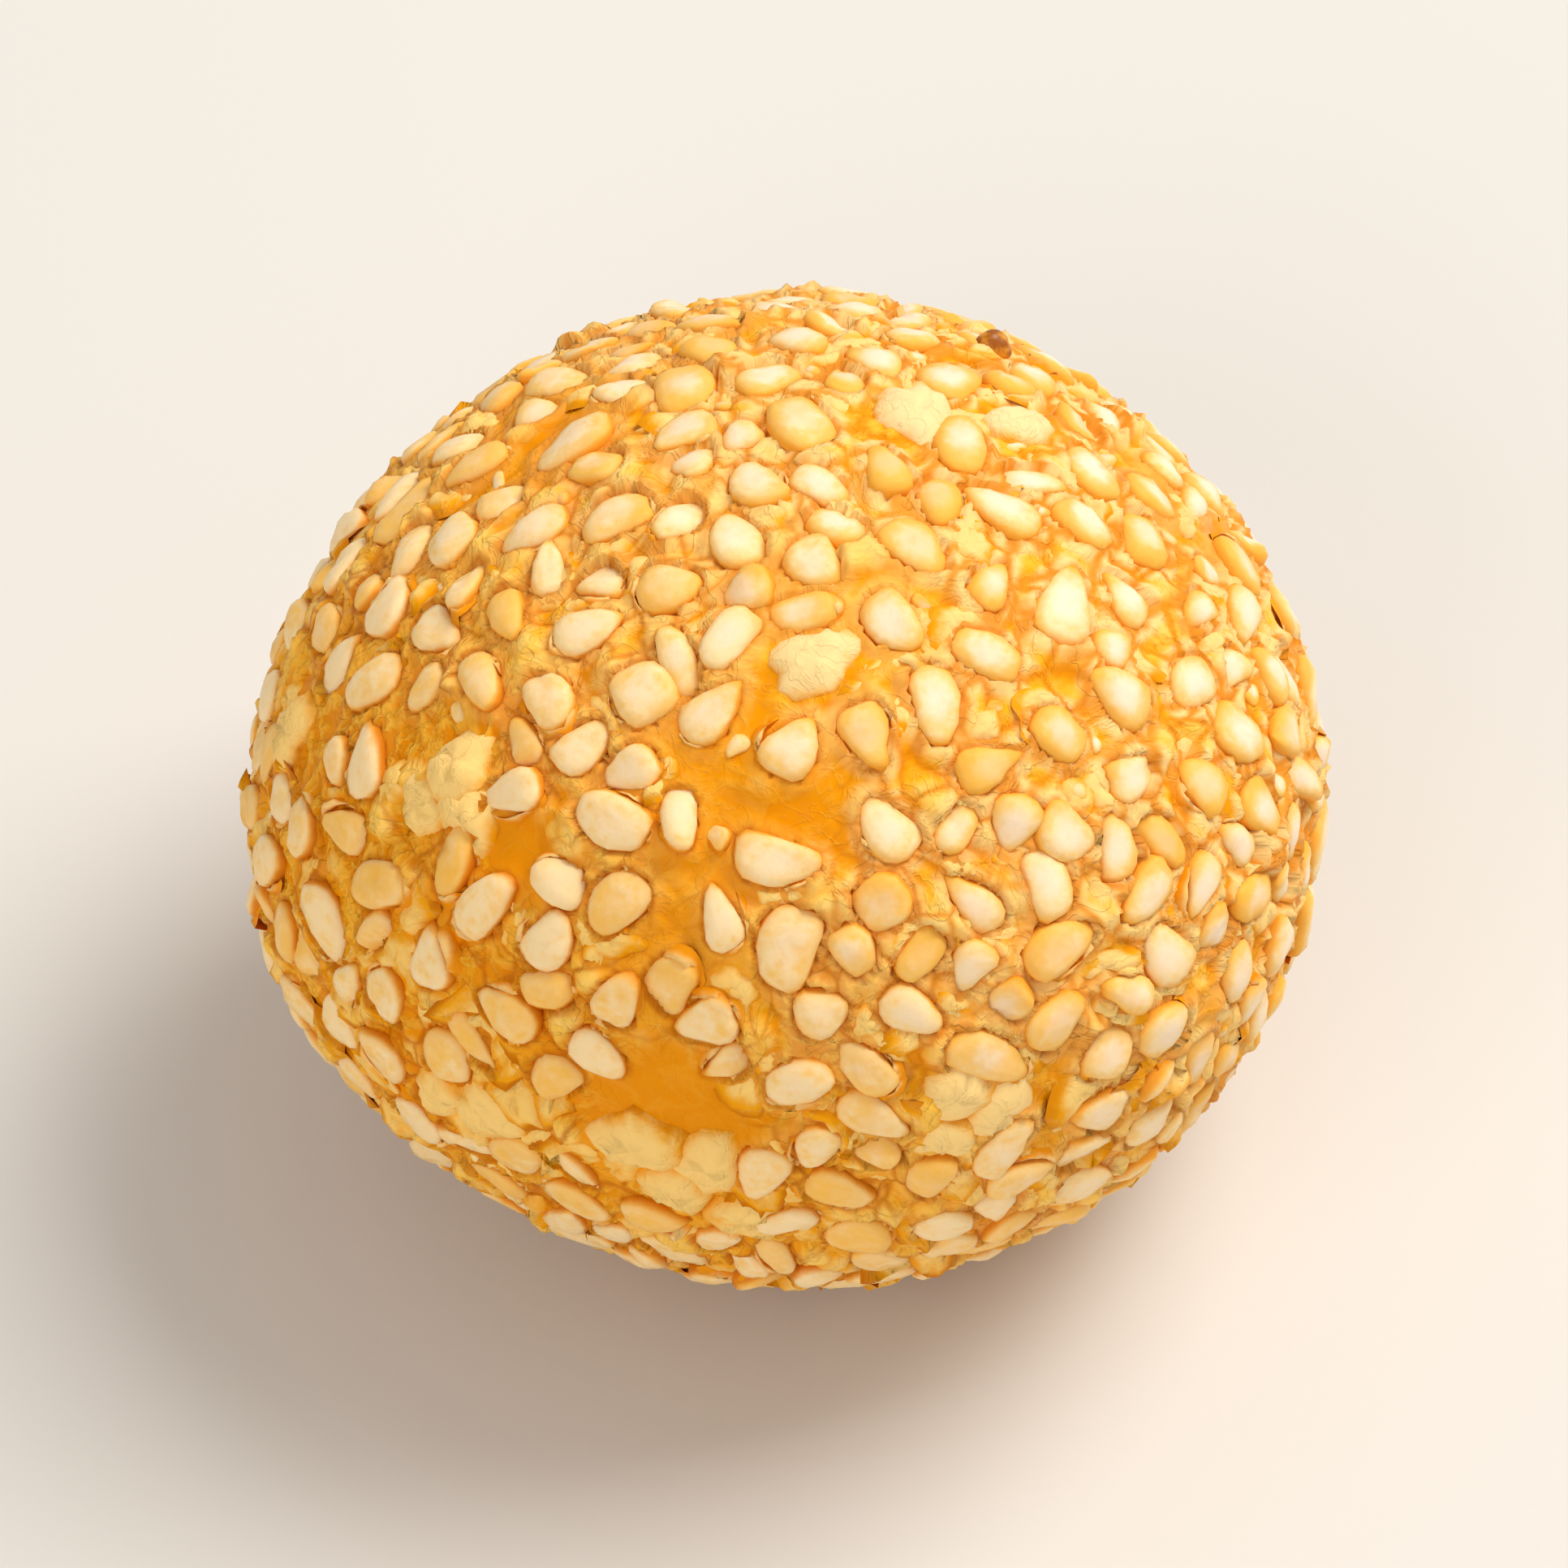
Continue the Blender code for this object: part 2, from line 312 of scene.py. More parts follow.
class Socket:
    """One output of a node. A sum on it adds the Math nodes to the same tree."""

    def __init__(self, tree, output=None):
        self.tree = tree
        self.output = output

    def node(self, kind, settings=None, inputs=None, output=0):
        """Adds a node of this kind, sets it, fills its sockets, and returns one of its outputs."""
        made = self.tree.nodes.new(kind)
        for name, value in (settings or {}).items():
            if name == "stops":
                ramp = made.color_ramp
                while len(ramp.elements) < len(value):
                    ramp.elements.new(1.0)
                for element, (place, colour) in zip(ramp.elements, value):
                    element.position = place
                    element.color = colour
            else:
                setattr(made, name, value)
        for name, value in (inputs or {}).items():
            if isinstance(name, int):
                socket = made.inputs[name]
            else:
                socket = next(one for one in made.inputs if one.enabled and one.name == name)
            if isinstance(value, Socket):
                self.tree.links.new(value.output, socket)
            else:
                socket.default_value = value
        return Socket(self.tree, made.outputs[output]) if made.outputs else None

    def other(self, name):
        """Another output of the same node."""
        return Socket(self.tree, self.output.node.outputs[name])

    def math(self, operation, *values):
        return self.node("ShaderNodeMath", {"operation": operation}, dict(enumerate(values)))

    def __add__(self, value):
        return self.math("ADD", self, value)

    __radd__ = __add__

    def __sub__(self, value):
        return self.math("SUBTRACT", self, value)

    def __rsub__(self, value):
        return self.math("SUBTRACT", value, self)

    def __mul__(self, value):
        return self.math("MULTIPLY", self, value)

    __rmul__ = __mul__

    def __abs__(self):
        return self.math("ABSOLUTE", self)

    def scaled(self, factor):
        """This vector, times the factor."""
        return self.node("ShaderNodeVectorMath", {"operation": "SCALE"},
                         {"Vector": self, "Scale": factor})

    def noise(self, scale, detail, output=0, **more):
        """A noise at these places, about one half, with its other sockets by their names."""
        inputs = {"Vector": self, "Scale": scale, "Detail": detail, **more}
        return self.node("ShaderNodeTexNoise", {}, inputs, output)

    def lines(self, thinness):
        """Lines along which this is one half: 1 on a line and 0 beside it."""
        return self.math("MAXIMUM", 1 - abs(self - 0.5) * thinness, 0.0)

    def carried(self, name, output="Fac"):
        """What the mesh carries under this name, for its material."""
        return self.node("ShaderNodeAttribute", {"attribute_name": name}, {}, output)

    def over(self, low, high):
        """0 up to low, 1 from high on, and smooth between."""
        return self.node("ShaderNodeMapRange", {"interpolation_type": "SMOOTHSTEP"},
                         {"Value": self, "From Min": low, "From Max": high})

    def mix(self, first, second):
        """The first colour where this is 0, the second where it is 1."""
        return self.node("ShaderNodeMix", {"data_type": "RGBA"},
                         {"Factor": self, "A": first, "B": second}, 2)


def colour(code):
    """A colour code as the linear values that Blender takes."""
    values = [int(code[place:place + 2], 16) / 255 for place in (1, 3, 5)]
    return tuple(v / 12.92 if v <= 0.04045 else ((v + 0.055) / 1.055) ** 2.4 for v in values) + (1.0,)


def new_material(name, constants):
    """A material whose shader has these constants, and a Socket to build the rest on."""
    material = bpy.data.materials.new(name)
    material.use_nodes = True
    shader = material.node_tree.nodes["Principled BSDF"]
    for key, value in constants.items():
        shader.inputs[key].default_value = value
    return material, shader, Socket(material.node_tree)


def feed(shader, values):
    """Links these values to the shader's sockets of the same names."""
    for name, value in values.items():
        value.tree.links.new(value.output, shader.inputs[name])


def new_tree(name, inputs):
    """A Geometry Nodes tree with these named inputs, and its inputs' sockets by name."""
    tree = bpy.data.node_groups.new(name, "GeometryNodeTree")
    tree.interface.new_socket("Geometry", in_out="INPUT", socket_type="NodeSocketGeometry")
    for key, kind in inputs.items():
        tree.interface.new_socket(key, in_out="INPUT", socket_type=kind)
    tree.interface.new_socket("Geometry", in_out="OUTPUT", socket_type="NodeSocketGeometry")
    group = tree.nodes.new("NodeGroupInput")
    sockets = {one.name: Socket(tree, one) for one in group.outputs if one.name}
    return tree, sockets


def end_tree(geometry, material):
    """Ends a tree with this geometry, shaded smooth and with the material."""
    smooth = geometry.node("GeometryNodeSetShadeSmooth", {}, {"Geometry": geometry})
    made = geometry.node("GeometryNodeSetMaterial", {}, {"Geometry": smooth, "Material": material})
    geometry.node("NodeGroupOutput", {}, {"Geometry": made})


def grow(obj, tree, values):
    """Runs the tree on the object with these input values, and keeps the result as its own mesh."""
    modifier = obj.modifiers.new(tree.name, "NODES")
    modifier.node_group = tree
    for item in tree.interface.items_tree:
        if item.name in values and item.in_out == "INPUT":
            modifier[item.identifier] = values[item.name]
    made = bpy.data.meshes.new_from_object(obj.evaluated_get(bpy.context.evaluated_depsgraph_get()))
    obj.modifiers.clear()
    obj.data = made
    return obj


def form_points(name, middles, values, form_count, rng):
    """An object with one point for each middle, which carries the values and one form's number."""
    mesh = bpy.data.meshes.new(name)
    mesh.vertices.add(len(middles))
    mesh.vertices.foreach_set("co", middles.ravel())
    for key, value in values.items():
        if value.ndim == 2:
            mesh.attributes.new(key, "FLOAT_VECTOR", "POINT").data.foreach_set("vector", value.ravel())
        else:
            mesh.attributes.new(key, "FLOAT", "POINT").data.foreach_set("value", value)
    mesh.attributes.new("form", "INT", "POINT").data.foreach_set(
        "value", rng.integers(0, form_count, len(middles)))
    obj = bpy.data.objects.new(name, mesh)
    bpy.context.scene.collection.objects.link(obj)
    return obj


def seed_points(name, laid, first, last, rng, thickness, most_cream=0.0):
    """The points of the seeds from first to last. A seed's tint is 0 where it is cream."""
    rows = first + np.flatnonzero(stuck(laid["point"][first:last]))
    moods = SEED_PROPORTIONS * (1 + SEED_MOODS * rng.normal(size=(3, len(rows))).clip(-2, 2))
    length, width, rise = laid["size"][rows].T * moods
    up = laid["up"][rows]
    middles = laid["point"][rows] + up * (rise - thickness / 2)[:, None]
    return form_points(name, middles, {
        "up": up,
        "along": laid["along"][rows],
        "size": np.stack([length, width, np.full(len(rows), thickness)], axis=-1),
        "tint": rng.uniform(most_cream, 1, len(rows)),
    }, len(SEED_FORMS), rng)


# The seeds' finish: cream mottled with straw, creamier on top as painted light from above, a paler
# rim, and golden where the oily crust creeps up their sides. Each is a little lighter or more toasted
# than the next. A thin film of fried dough softens their edges on the side that faces the key light;
# there the seeds are also painted paler, with a painted highlight in their middles, and on the far
# side their lower sides are painted darker, as painted shade.
FILM_AND_LIGHT_SIDE = tuple(toward(25.0, 35.0))
DOUGH_MIDDLE = (0.0, 0.0, DOUGH_HEIGHT / 2)
seed_material, seed_shader, seed = new_material("toasted seed", {
    "Subsurface Weight": 0.25,
    "Subsurface Radius": (1.0, 0.62, 0.20),
    "Subsurface Scale": 0.0005,
    "IOR": 1.3,
    "Specular IOR Level": 0.2,
})


def film_and_light_side(rest):
    """1 on the side of the film and the key light, and 0 on the side across from it."""
    away = rest.node("ShaderNodeVectorMath", {"operation": "SUBTRACT"}, {0: rest, 1: DOUGH_MIDDLE})
    toward_film = rest.node("ShaderNodeVectorMath", {"operation": "DOT_PRODUCT"},
                            {0: away, 1: FILM_AND_LIGHT_SIDE}, "Value")
    return (toward_film * (2 / DOUGH_WIDTH)).over(-0.6, 0.9)


place = seed.node("ShaderNodeTexCoord", {}, {}, "Object")
height = seed.carried("height")
rim = seed.carried("rim")
tint = seed.carried("tint")
mottle = place.noise(900.0, 3.0)
stain = place.noise(420.0, 2.0)
grain = place.noise(2600.0, 3.0)
# Toward the key light the seeds are painted paler, as painted light; on the far side their lower sides are
# painted darker, as painted shade.
film_and_light = film_and_light_side(place)
# The top of each seed is painted creamier than its lower part, as painted light from above, mixed with its
# real mottling and toast.
lit = height + (mottle - 0.5) * 0.9 + (grain - 0.5) * 0.7 - (tint - 0.5) * 0.3
straw_or_cream = lit.over(0.60, 1.15).mix(colour("#fbc564"), colour("#fddda8"))
# A painted highlight: paler cream in the middle of each seed on the side toward the key light.
painted_highlight = film_and_light * (1 - rim.over(0.25, 0.75)) * (0.5 + mottle * 0.6)
highlighted = painted_highlight.mix(straw_or_cream, colour("#fee6d1"))
pale_rim = height.over(0.66, 0.78) * (1 - height.over(0.82, 0.94))
rimmed = (pale_rim * 0.5 * (1 - film_and_light)).mix(highlighted, colour("#fde0b4"))
glazed = ((tint - 0.55) * 1.6 + (stain - 0.5) * 2.0).over(0.0, 0.9) * 0.65
body = glazed.mix(rimmed, colour("#fabb4a"))
creeping = (rim + (mottle - 0.5) * 0.9 + (stain - 0.5) * 0.6 + (tint - 0.5) * 0.2).over(
    0.86 - film_and_light * 0.30, 1.20 - film_and_light * 0.20)
edged = (creeping * (0.35 + film_and_light * 0.50)).mix(body, colour("#f8b647"))
side = 1 - (height + (mottle - 0.5) * 0.30).over(0.50, 0.80)
seed_colour = (side * 0.92).mix(edged, film_and_light.mix(colour("#de8002"), colour("#f6ac38")))
seed_bump = seed.node("ShaderNodeBump", {},
                      {"Strength": 0.4, "Distance": 0.00007, "Height": grain + mottle * 0.8})
feed(seed_shader, {
    "Base Color": seed_colour,
    "Roughness": 0.40 + (mottle - 0.5) * 0.3,
    "Normal": seed_bump,
})

# The tree that sets one form on each point, turned and sized as the point says, and then makes
# every one uneven in its own way. The thin ones sink in beside the seeds and stay under them.
CAST_HEIGHT = 0.002
CAST_DEPTH = 0.0009
SEED_SKIN = 0.00014


def seed_meshes(given):
    """The meshes of the plump and the fine seeds that this tree is given, joined."""
    tree = given["Geometry"].tree
    both = tree.nodes.new("GeometryNodeJoinGeometry")
    for name in ("Seeds", "Fine Seeds"):
        mesh = given["Geometry"].node("GeometryNodeObjectInfo", {}, {"Object": given[name]}, "Geometry")
        tree.links.new(mesh.output, both.inputs[0])
    return Socket(tree, both.outputs[0])


def top_over(target, places, up, depth):
    """Whether the target lies over these places, or less than depth below, and how high its top is."""
    above = target.node("ShaderNodeVectorMath", {"operation": "MULTIPLY_ADD"},
                        {0: up, 1: (CAST_HEIGHT,) * 3, 2: places})
    cast = target.node("GeometryNodeRaycast", {}, {
        "Target Geometry": target,
        "Source Position": above,
        "Ray Direction": up.scaled(-1.0),
        "Ray Length": CAST_HEIGHT + depth,
    })
    return cast, CAST_HEIGHT - cast.other("Hit Distance")


seed_tree, given = new_tree("set forms", {
    "Forms": "NodeSocketCollection",
    "Unevenness": "NodeSocketFloat",
    "Unevenness Scale": "NodeSocketFloat",
    "Pucker": "NodeSocketFloat",
    "Pucker Scale": "NodeSocketFloat",
    "Seeds": "NodeSocketObject",
    "Fine Seeds": "NodeSocketObject",
    "Sink": "NodeSocketFloat",
    "Sink Reach": "NodeSocketFloat",
    "Material": "NodeSocketMaterial",
})
start = given["Geometry"]


def point_value(name, data_type):
    """The value that the points carry under this name."""
    return start.node("GeometryNodeInputNamedAttribute", {"data_type": data_type}, {"Name": name})


forms = start.node("GeometryNodeCollectionInfo", {},
                   {"Collection": given["Forms"], "Separate Children": True, "Reset Children": True})
upward = point_value("up", "FLOAT_VECTOR")
rotation = start.node("FunctionNodeAxesToRotation", {"primary_axis": "Z", "secondary_axis": "X"},
                      {"Primary Axis": upward, "Secondary Axis": point_value("along", "FLOAT_VECTOR")})
placed = start.node("GeometryNodeInstanceOnPoints", {}, {
    "Points": start,
    "Instance": forms,
    "Pick Instance": True,
    "Instance Index": point_value("form", "INT"),
    "Rotation": rotation,
    "Scale": point_value("size", "FLOAT_VECTOR"),
})
real = start.node("GeometryNodeRealizeInstances", {}, {"Geometry": placed})
where = start.node("GeometryNodeInputPosition")
normal = start.node("GeometryNodeInputNormal")
lumps = where.noise(given["Unevenness Scale"], 2.0)
puckers = where.noise(given["Pucker Scale"], 1.0)
unevenness = (lumps - 0.5) * given["Unevenness"] + (puckers - 0.5) * given["Pucker"]
uneven = start.node("GeometryNodeSetPosition", {},
                    {"Geometry": real, "Offset": normal.scaled(unevenness)})
seeds = seed_meshes(given)
beside = start.node("GeometryNodeProximity", {"target_element": "FACES"}, {0: seeds}, "Distance")
sinking = given["Sink"] * (1 - beside.over(0.0, given["Sink Reach"]))
beneath, roof = top_over(seeds, where, upward, CAST_DEPTH)
fall = start.math("MINIMUM", beneath * (roof - SEED_SKIN), 0.0) - sinking
sunk = start.node("GeometryNodeSetPosition", {}, {"Geometry": uneven, "Offset": upward.scaled(fall)})


def stood_on_floor(geometry, where):
    """The geometry with nothing of it under the surface that the ball stands on."""
    apart = start.node("ShaderNodeSeparateXYZ", {}, {"Vector": where})
    stood = start.node("ShaderNodeCombineXYZ", {}, {
        "X": apart,
        "Y": apart.other("Y"),
        "Z": start.math("MAXIMUM", apart.other("Z"), 0.0),
    })
    return start.node("GeometryNodeSetPosition", {}, {"Geometry": geometry, "Position": stood})


end_tree(stood_on_floor(sunk, where), given["Material"])

seed_rng = np.random.default_rng(21)
seed_settings = {
    "Forms": seed_forms,
    "Unevenness": 0.00060,
    "Unevenness Scale": 560.0,
    "Pucker": 0.00020,
    "Pucker Scale": 1500.0,
    "Material": seed_material,
}
plump_count = len(plump["point"])
fine_count = len(fine["point"])
plump_seeds = seed_points("plump_seeds", plump, 0, plump_count, seed_rng, SEED_THICKNESS)
fine_seeds = seed_points("fine_seeds", fine, plump_count, fine_count, seed_rng, SEED_THICKNESS)
seed_bits = seed_points("seed_bits", bits, fine_count, len(bits["point"]), seed_rng, BIT_THICKNESS, 0.5)
sunken_seeds = seed_points("sunken_seeds", every, fine_count, len(every["point"]), seed_rng, SEED_THICKNESS)


# The collars: thin lips of fried dough that stand up round part of a seed where the oil bubbled
# past it. Each is a low curved ridge that clings to its seed's side and thins out at both ends:
# (turn where it starts, sweep, rise, reach), with one profile of (out, up, crest, foot).
COLLAR_FORMS = (
    (0.2, 2.6, 0.26, 0.98),
    (1.1, 1.9, 0.34, 0.99),
    (2.4, 3.1, 0.22, 1.00),
    (3.0, 2.2, 0.28, 1.01),
    (3.9, 2.8, 0.24, 0.97),
    (4.6, 1.6, 0.36, 0.99),
    (5.3, 3.4, 0.20, 0.99),
    (0.8, 4.0, 0.18, 1.01),
    (1.9, 2.3, 0.26, 1.02),
    (4.2, 2.0, 0.32, 0.97),
)
COLLAR_STEPS = 14
COLLAR_PROFILE = ((-0.10, -0.10, 0.0, 1.0), (-0.03, 0.72, 0.7, 0.7), (0.02, 1.0, 1.0, 0.0),
                  (0.10, 0.5, 0.6, 0.0), (0.26, -0.75, 0.0, 0.0))
COLLAR_SHARE = 0.70
COLLARS_MELTED = 0.40


def collar_form(name, turn, sweep, rise, reach):
    """A collar round a seed of length, width and thickness one. height is 1 on its crest, and
    groove is 1 at its foot against the seed."""
    bm = bmesh.new()
    height = bm.verts.layers.float.new("height")
    groove = bm.verts.layers.float.new("groove")
    rows = []
    for step in range(COLLAR_STEPS + 1):
        angle = turn + sweep * step / COLLAR_STEPS
        fullness = math.sin(math.pi * step / COLLAR_STEPS) ** 0.7
        row = []
        for out, up, crest, foot in COLLAR_PROFILE:
            away = 0.5 * (reach + out * (0.4 + 0.6 * fullness))
            level = up * rise * fullness - 0.10 * (1 - fullness)
            vert = bm.verts.new((away * math.cos(angle), away * math.sin(angle), level))
            vert[height] = crest * fullness
            vert[groove] = foot
            row.append(vert)
        rows.append(row)
    for first, second in zip(rows, rows[1:]):
        for place in range(len(COLLAR_PROFILE) - 1):
            bm.faces.new((first[place], second[place], second[place + 1], first[place + 1]))
    bmesh.ops.reverse_faces(bm, faces=bm.faces)
    return form_object(name, bm)


def collar_points(name, sources, rng):
    """The points of the seeds that have a collar, as their sources have them. Fewer of them do on the
    side of the film and the key light, where the lips have melted into the film."""
    values = {"position": [], "up": [], "along": [], "size": []}
    for source in sources:
        for key, parts in values.items():
            part = np.zeros(len(source.data.vertices) * 3)
            source.data.attributes[key].data.foreach_get("vector", part)
            parts.append(part.reshape(-1, 3))
    values = {key: np.concatenate(parts) for key, parts in values.items()}
    filmed = unit(values["position"] - DOUGH_MIDDLE) @ FILM_AND_LIGHT_SIDE
    kept = rng.random(len(filmed)) < COLLAR_SHARE - COLLARS_MELTED * filmed
    values = {key: value[kept] for key, value in values.items()}
    return form_points(name, values.pop("position"), values, len(COLLAR_FORMS), rng)


collar_forms = form_collection("collar forms", [
    collar_form(f"collar_form_{number:02d}", *row) for number, row in enumerate(COLLAR_FORMS)])

collar_material, collar_shader, collar = new_material("fried lip", {
    "IOR": 1.25,
    "Specular IOR Level": 0.2,
})
place = collar.node("ShaderNodeTexCoord", {}, {}, "Object")
height = collar.carried("height")
groove = collar.carried("groove")
flaky = place.noise(1600.0, 4.0)
crested = (height + (flaky - 0.5) * 0.9).over(0.25, 1.05).mix(colour("#ee960e"), colour("#fdd184"))
# Painted shade: the lip's foot, in the crease against its seed, is painted dark orange.
lip_colour = ((groove - 0.35) * 1.2).over(0.0, 0.7).mix(crested, colour("#c86a00"))
lip_bump = collar.node("ShaderNodeBump", {}, {"Strength": 0.5, "Distance": 0.00008, "Height": flaky})
feed(collar_shader, {
    "Base Color": lip_colour,
    "Roughness": 0.34 + (flaky - 0.5) * 0.3,
    "Normal": lip_bump,
})

collars = collar_points("collars", (plump_seeds, fine_seeds), seed_rng)
for seeds in (plump_seeds, fine_seeds, seed_bits, sunken_seeds):
    grow(seeds, seed_tree, seed_settings)
grow(collars, seed_tree, {
    "Forms": collar_forms,
    "Unevenness": 0.00070,
    "Unevenness Scale": 1100.0,
    "Pucker": 0.00030,
    "Pucker Scale": 2300.0,
    "Seeds": plump_seeds,
    "Fine Seeds": fine_seeds,
    "Material": collar_material,
})


# The blisters: thin skins of dough that steam lifted off the ball between the seeds, low, crumpled
# and ragged. On the flanks, where the ball rolled against the pan, they lie closer, grow larger,
# and lap like scales with their lower edges free.
BLISTER_FORMS = 12
BLISTER_SIDES = 16
BLISTER_RINGS = (0.30, 0.58, 0.80, 0.94, 1.16)
BLISTER_WAVES = ((2, 0.10), (3, 0.09), (5, 0.06), (7, 0.05))
BLISTER_CRUMPLE = 0.14
PUFFED_LEAN = 0.10
FLAKE_LAP = 0.11
FLAKE_GROWTH = 0.25


def blister_form(name, rng):
    """A low crumpled dome of length, width and thickness one, its rim under the dough's skin."""
    bm = bmesh.new()
    height = bm.verts.layers.float.new("height")
    phases = rng.uniform(0, math.tau, len(BLISTER_WAVES))
    crumples = rng.uniform(-BLISTER_CRUMPLE, BLISTER_CRUMPLE, (len(BLISTER_RINGS), BLISTER_SIDES))
    middle = bm.verts.new((0.0, 0.0, 0.44))
    middle[height] = 0.9
    rings = []
    for ring, away in enumerate(BLISTER_RINGS):
        verts = []
        for side in range(BLISTER_SIDES):
            angle = math.tau * side / BLISTER_SIDES
            reach = 1 + sum(size * math.cos(count * angle + phase)
                            for (count, size), phase in zip(BLISTER_WAVES, phases))
            level = 0.5 * (1 - away ** 3.2) + crumples[ring, side] * (1.1 - away)
            radius = 0.5 * away * reach
            verts.append(bm.verts.new((radius * math.cos(angle), radius * math.sin(angle), level)))
            verts[-1][height] = min(1.0, max(0.0, level * 2))
        rings.append(verts)
    for side in range(BLISTER_SIDES):
        after = (side + 1) % BLISTER_SIDES
        bm.faces.new((middle, rings[0][side], rings[0][after]))
        for first, second in zip(rings, rings[1:]):
            bm.faces.new((first[side], second[side], second[after], first[after]))
    return form_object(name, bm)


blister_rng = np.random.default_rng(41)
blister_forms = form_collection("blister forms", [
    blister_form(f"blister_form_{number:02d}", blister_rng) for number in range(BLISTER_FORMS)])

laid = lay_seeds({}, count=820, tries=12000, size=(0.0027, 0.0021, 0.00034), variation=0.35,
                 spacing=0.0011, clearance=-0.01, lean=math.radians(11), random_seed=29)
places = unit(laid["point"] - DOUGH_MIDDLE)
share = np.interp(places[:, 2], (0.1, 0.8), (1.0, 0.35)) + 0.25 * (places @ FILM_AND_LIGHT_SIDE)
kept = (blister_rng.random(len(share)) < share) & stuck(laid["point"])
flank = np.interp(places[:, 2], (-0.1, 0.4), (1.0, 0.0))[:, None]
laid["up"] = unit(laid["up"] + FLAKE_LAP * flank * (0, 0, 1))
laid["size"] *= 1 + FLAKE_GROWTH * flank * (1, 1, 0)
large = np.array(PUFFED_PATCHES)
large_points, large_ups, large_alongs = skin_axes(
    unit([toward(turn, rise) for turn, rise in large[:, :2]]), np.radians(large[:, 5]))
large_ups = unit(large_ups + PUFFED_LEAN * blister_rng.normal(size=large_ups.shape))
small_sizes = laid["size"][kept] * (1, 1, 2)
blisters = form_points("blisters", np.concatenate([large_points, laid["point"][kept]]), {
    "up": np.concatenate([large_ups, laid["up"][kept]]),
    "along": np.concatenate([large_alongs, laid["along"][kept]]),
    "size": np.concatenate([large[:, 2:5] * (1, 1, 2), small_sizes]),
    "pale": np.concatenate([np.ones(len(large)), np.zeros(len(small_sizes))]),
}, BLISTER_FORMS, blister_rng)

blister_material, blister_shader, blister = new_material("puffed film", {
    "IOR": 1.25,
    "Specular IOR Level": 0.1,
})


def fine_veins(rest):
    """Thin raised lines that the film dries into, 1 on a line and 0 beside it."""
    return rest.noise(700.0, 3.0, Roughness=0.55, Distortion=0.8).lines(26.0)


place = blister.node("ShaderNodeTexCoord", {}, {}, "Object")
height = blister.carried("height")
pale = blister.carried("pale")
flaky = place.noise(1400.0, 4.0)
stain = place.noise(360.0, 2.0)
veins = fine_veins(place)
# Toward the key light the film is painted paler, as painted light, and its dark edges fade.
film_and_light = film_and_light_side(place)
puffed = (height + (flaky - 0.5) * 0.9 + (stain - 0.5) * 1.2 + pale * 0.30 + film_and_light * 0.25).over(0.35, 1.10)
palest = pale * (0.15 + film_and_light * 0.45) + film_and_light * 0.3
film_colour = puffed.mix(colour("#f4a410"), palest.mix(colour("#fdd074"), colour("#fde0a8")))
film_colour = (veins * 0.20).mix(film_colour, colour("#ffd584"))
# Painted shade: the film's low edge, where it meets the crust, is painted dark orange, most on the side
# away from the key light.
painted_edge_shade = (1 - (height + (flaky - 0.5) * 0.3).over(0.0, 0.30)) * (0.85 - film_and_light * 0.45)
film_colour = painted_edge_shade.mix(film_colour, film_and_light.mix(colour("#c46800"), colour("#ec9614")))
film_relief = place.noise(2400.0, 4.0) * 0.6 + flaky * 0.6 + veins * 0.5
film_bump = blister.node("ShaderNodeBump", {},
                         {"Strength": 0.5, "Distance": 0.00010, "Height": film_relief})
feed(blister_shader, {
    "Base Color": film_colour,
    "Roughness": 0.40 + (flaky - 0.5) * 0.3,
    "Normal": film_bump,
})
grow(blisters, seed_tree, {
    "Forms": blister_forms,
    "Unevenness": 0.00050,
    "Unevenness Scale": 800.0,
    "Pucker": 0.00036,
    "Pucker Scale": 1900.0,
    "Seeds": plump_seeds,
    "Fine Seeds": fine_seeds,
    "Sink": 0.00028,
    "Sink Reach": 0.00040,
    "Material": blister_material,
})


# The toasted bead: a drop of dough that squeezed out beside two of the puffed patches and fried
# to caramel. It is a small lump, sunk by a third into the crust.
BEAD_DIRECTION = (51.0, 47.0)
BEAD_SIZE = (0.0014, 0.0012, 0.0014)
BEAD_RISE = 0.0005
BEAD_TURN = 0.4
bm = bmesh.new()
bmesh.ops.create_icosphere(bm, subdivisions=3, radius=0.5)
bead_forms = form_collection("bead forms", [form_object("bead_form", bm)])

bead_material, bead_shader, bead = new_material("toasted bead", {"Specular IOR Level": 0.35})
place = bead.node("ShaderNodeTexCoord", {}, {}, "Object")
caramel = place.noise(1300.0, 3.0)
bead_colour = caramel.over(0.40, 0.62).mix(colour("#9c560e"), colour("#dd9426"))
feed(bead_shader, {"Base Color": bead_colour, "Roughness": 0.24 + caramel * 0.2})
bead_point, bead_up, bead_along = skin_axes(unit([toward(*BEAD_DIRECTION)]), np.array([BEAD_TURN]))
toasted_bead = form_points("toasted_bead", bead_point + bead_up * BEAD_RISE, {
    "up": bead_up,
    "along": bead_along,
    "size": np.array([BEAD_SIZE]),
}, 1, blister_rng)
grow(toasted_bead, seed_tree, {
    "Forms": bead_forms,
    "Unevenness": 0.00060,
    "Unevenness Scale": 900.0,
    "Pucker": 0.00020,
    "Pucker Scale": 1900.0,
    "Material": bead_material,
})


# The crust: the dough's own skin, fried golden and glossy with oil. It climbs a little up every
# seed, closes over the sunken ones as a thin pale film, and cracks and wrinkles between them. Its
# colour carries painted shade in the creases beside the seeds and in its cracks.
CRUST_CELLS = 128
CELL_SCALE = 600.0
FOLD_SCALE = 520.0
CRACK_BEND = 0.0022
COVERED_LIFT = 0.00035
CRUST_BELOW_SEED = 1.6 * SEED_SKIN
EASED_REACH = 0.00045
EASED_STEP = 0.00002


